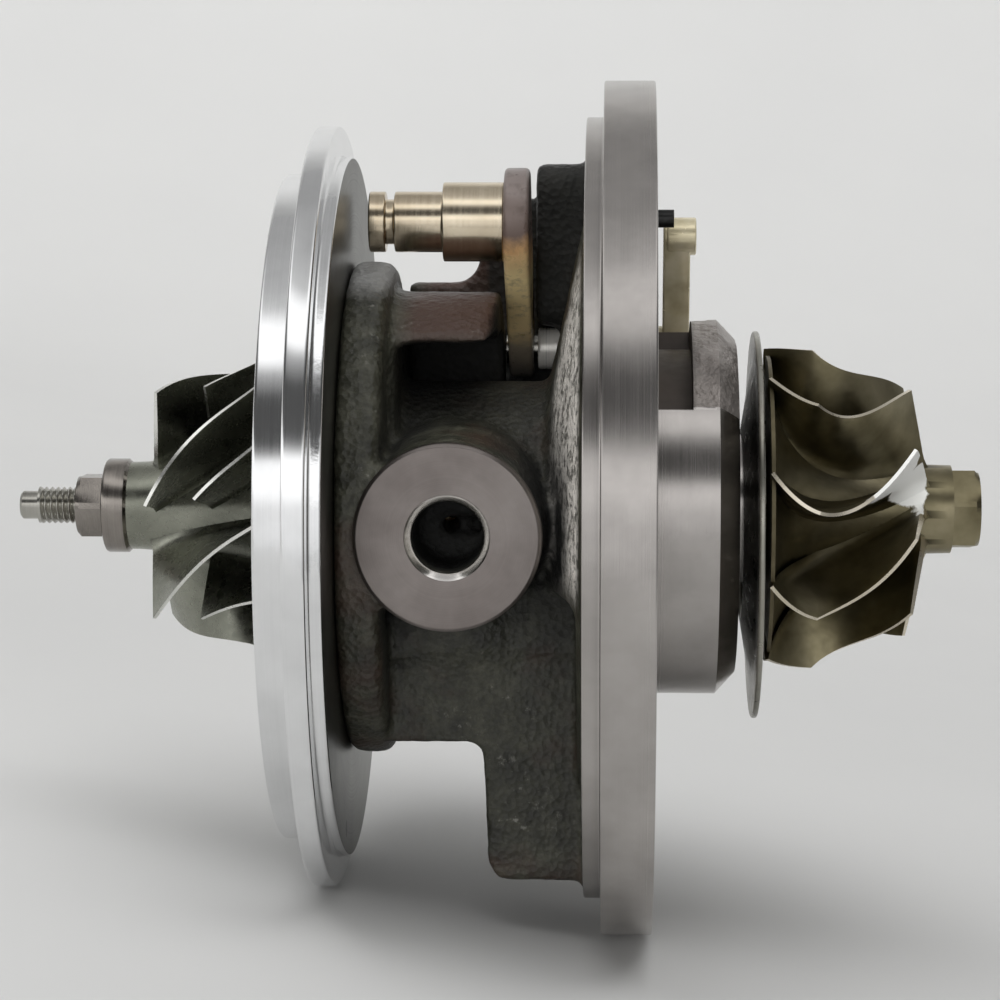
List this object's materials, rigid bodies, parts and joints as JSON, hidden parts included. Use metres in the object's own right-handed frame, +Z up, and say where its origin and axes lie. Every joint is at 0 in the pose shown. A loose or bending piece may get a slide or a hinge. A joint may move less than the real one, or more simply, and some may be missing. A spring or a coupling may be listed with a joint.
{
  "type": "turbocharger cartridge",
  "caption": "Turbocharger centre cartridge with a bladed compressor wheel and turbine wheel on one shaft, an oil fed bearing housing between two round flanges and a vane crank.",
  "frame": {"origin": "on the shaft axis, in the plane of the turbine flange's face, where the nose begins", "axes": "+X along the shaft towards the turbine, +Z up as the picture shows it, oil inlet towards -Y"},
  "size_m": [0.1291, 0.114, 0.114],
  "materials": {
    "cast_housing": "oily cast iron with machined faces",
    "turned_aluminium": "turned, bright",
    "wheel_aluminium": "cast and satin, machined edges",
    "seal_rubber": "matte",
    "screw_steel": "satin",
    "nut_steel": "machined",
    "shaft_steel": "ground",
    "turbine_alloy": "cast nickel alloy with an olive heat tint",
    "bearing_bronze": "turned",
    "sheet_steel": "pressed",
    "ring_iron": "ground",
    "shield_steel": "pressed sheet",
    "lever_gold": "passivated, heat tinted ends",
    "pin_gold": "turned, bright",
    "bush_steel": "polished",
    "crank_alloy": "cast, olive tint",
    "dowel_steel": "black"
  },
  "bodies": {
    "housing": {"centre_housing": "cast_housing", "compressor_backplate": "turned_aluminium", "backplate_seal": "seal_rubber", "backplate_screws": "screw_steel", "thrust_bearing": "bearing_bronze", "thrust_pins": "screw_steel", "oil_deflector": "sheet_steel", "bearing_spacer": "screw_steel", "bearing_rings": "screw_steel", "compressor_piston_ring": "ring_iron", "turbine_piston_ring": "ring_iron", "crank_bush": "bush_steel", "nozzle_dowel": "dowel_steel"},
    "rotor": {"rotor_shaft": "shaft_steel", "turbine_wheel": "turbine_alloy", "compressor_wheel": "wheel_aluminium", "compressor_nut": "nut_steel", "thrust_collar": "shaft_steel", "oil_flinger": "shaft_steel"},
    "bearing_compressor": {"journal_bearing_compressor": "bearing_bronze"},
    "bearing_turbine": {"journal_bearing_turbine": "bearing_bronze"},
    "crank": {"crank_lever": "lever_gold", "actuator_pin": "pin_gold", "crank_spindle": "shaft_steel", "vane_crank": "crank_alloy"},
    "shield": {"heat_shield": "shield_steel"}
  },
  "joints": [
    {"name": "rotor_spin", "type": "hinge", "parent": "housing", "child": "rotor", "pos_m": [0, 0, 0], "axis": [1, 0, 0], "continuous": true},
    {"name": "bearing_compressor_float", "type": "hinge", "parent": "housing", "child": "bearing_compressor", "pos_m": [-0.027, 0, 0], "axis": [1, 0, 0], "continuous": true},
    {"name": "bearing_turbine_float", "type": "hinge", "parent": "housing", "child": "bearing_turbine", "pos_m": [-0.006, 0, 0], "axis": [1, 0, 0], "continuous": true},
    {"name": "crank_turn", "type": "hinge", "parent": "housing", "child": "crank", "pos_m": [-0.018, 0.0204, 0.0201], "axis": [1, 0, 0], "range_deg": [-40, 2]},
    {"name": "shield_float", "type": "slide", "parent": "housing", "child": "shield", "axis": [1, 0, 0], "range_m": [-0.0004, 0.0006]}
  ]
}
